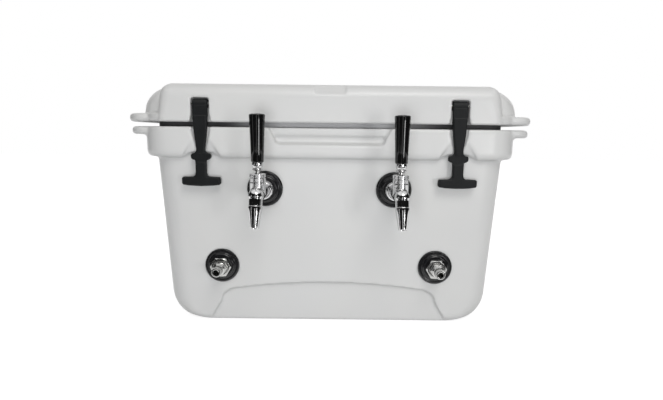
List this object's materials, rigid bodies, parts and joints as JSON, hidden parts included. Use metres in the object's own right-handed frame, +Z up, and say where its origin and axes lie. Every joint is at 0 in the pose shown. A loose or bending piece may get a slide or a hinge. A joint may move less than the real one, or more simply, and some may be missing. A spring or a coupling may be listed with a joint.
{
  "type": "jockey box beer cooler",
  "caption": "Insulated ice chest with beer taps and inlets on its front wall, a hinged lid held by rubber latches, and cooling coils inside.",
  "frame": {"origin": "centre of the flat underside, between the front and rear walls", "axes": "+X to the right seen from the front, -Y out of the front where the taps are, +Z up"},
  "size_m": [0.74, 0.5658, 0.4329],
  "materials": {
    "shell": "glossy moulded",
    "gasket": "matte",
    "latch_rubber": "matte",
    "black_plastic": "semi-gloss",
    "handle_black": "gloss",
    "grey_plastic": "satin",
    "chrome": "polished",
    "steel": "satin",
    "seal": "matte"
  },
  "bodies": {
    "tub": {"tub": "shell", "drain_fitting": "grey_plastic", "drain_nut": "grey_plastic", "hinge_rod_left": "steel", "hinge_rod_right": "steel", "tap_flange_left": "black_plastic", "tap_flange_right": "black_plastic", "tap_shank_left": "steel", "tap_shank_right": "steel", "tap_lock_nut_left": "steel", "tap_lock_nut_right": "steel", "tap_union_left": "steel", "tap_union_right": "steel", "tap_coupling_nut_left": "chrome", "tap_coupling_nut_right": "chrome", "tap_washer_left": "seal", "tap_washer_right": "seal", "faucet_body_left": "chrome", "faucet_body_right": "chrome", "spout_left": "chrome", "spout_right": "chrome", "bonnet_left": "chrome", "bonnet_right": "chrome", "inlet_flange_left": "black_plastic", "inlet_flange_right": "black_plastic", "inlet_bulkhead_left": "steel", "inlet_bulkhead_right": "steel", "inlet_nut_left": "steel", "inlet_nut_right": "steel", "inlet_nipple_left": "steel", "inlet_nipple_right": "steel", "inlet_lock_nut_left": "steel", "inlet_lock_nut_right": "steel", "inlet_union_left": "steel", "inlet_union_right": "steel", "coil_left": "steel", "coil_right": "steel"},
    "lid": {"lid": "shell", "lid_gasket": "gasket", "latch_pin_left": "steel", "latch_pin_right": "steel"},
    "latch_left": {"latch_strap_left": "latch_rubber"},
    "lever_left": {"lever_left": "steel", "ferrule_left": "chrome", "handle_left": "handle_black"},
    "shuttle_left": {"shuttle_left": "steel", "shuttle_seal_left": "seal"},
    "latch_right": {"latch_strap_right": "latch_rubber"},
    "lever_right": {"lever_right": "steel", "ferrule_right": "chrome", "handle_right": "handle_black"},
    "shuttle_right": {"shuttle_right": "steel", "shuttle_seal_right": "seal"},
    "drain_seal": {"drain_seal": "seal"},
    "drain_plug": {"drain_plug": "grey_plastic"}
  },
  "joints": [
    {"name": "lid_hinge", "type": "hinge", "parent": "tub", "child": "lid", "pos_m": [0, 0.23, 0.363], "axis": [-1, 0, 0], "range_deg": [0, 95]},
    {"name": "latch_left_pivot", "type": "hinge", "parent": "lid", "child": "latch_left", "pos_m": [-0.222, -0.213, 0.398], "axis": [-1, 0, 0], "range_deg": [0, 100]},
    {"name": "tap_lever_left", "type": "hinge", "parent": "tub", "child": "lever_left", "pos_m": [-0.1138, -0.28617, 0.276], "axis": [1, 0, 0], "range_deg": [0, 22]},
    {"name": "shuttle_left_slide", "type": "slide", "parent": "tub", "child": "shuttle_left", "axis": [0, 1, 0], "range_m": [0, 0.0093]},
    {"name": "latch_right_pivot", "type": "hinge", "parent": "lid", "child": "latch_right", "pos_m": [0.222, -0.213, 0.398], "axis": [-1, 0, 0], "range_deg": [0, 100]},
    {"name": "tap_lever_right", "type": "hinge", "parent": "tub", "child": "lever_right", "pos_m": [0.1138, -0.28617, 0.276], "axis": [1, 0, 0], "range_deg": [0, 22]},
    {"name": "shuttle_right_slide", "type": "slide", "parent": "tub", "child": "shuttle_right", "axis": [0, 1, 0], "range_m": [0, 0.0093]},
    {"name": "drain_travel", "type": "slide", "parent": "tub", "child": "drain_seal", "axis": [0, 1, 0], "range_m": [0, 0.0121]},
    {"name": "drain_turn", "type": "hinge", "parent": "drain_seal", "child": "drain_plug", "pos_m": [0.205, 0.2, 0.064], "axis": [0, 1, 0], "range_deg": [0, 1440]}
  ],
  "couplings": [
    {"joint": "shuttle_left_slide", "follows": "tap_lever_left", "m_per_rad": 0.024},
    {"joint": "shuttle_right_slide", "follows": "tap_lever_right", "m_per_rad": 0.024},
    {"joint": "drain_travel", "follows": "drain_turn", "m_per_rad": 0.00047746}
  ]
}
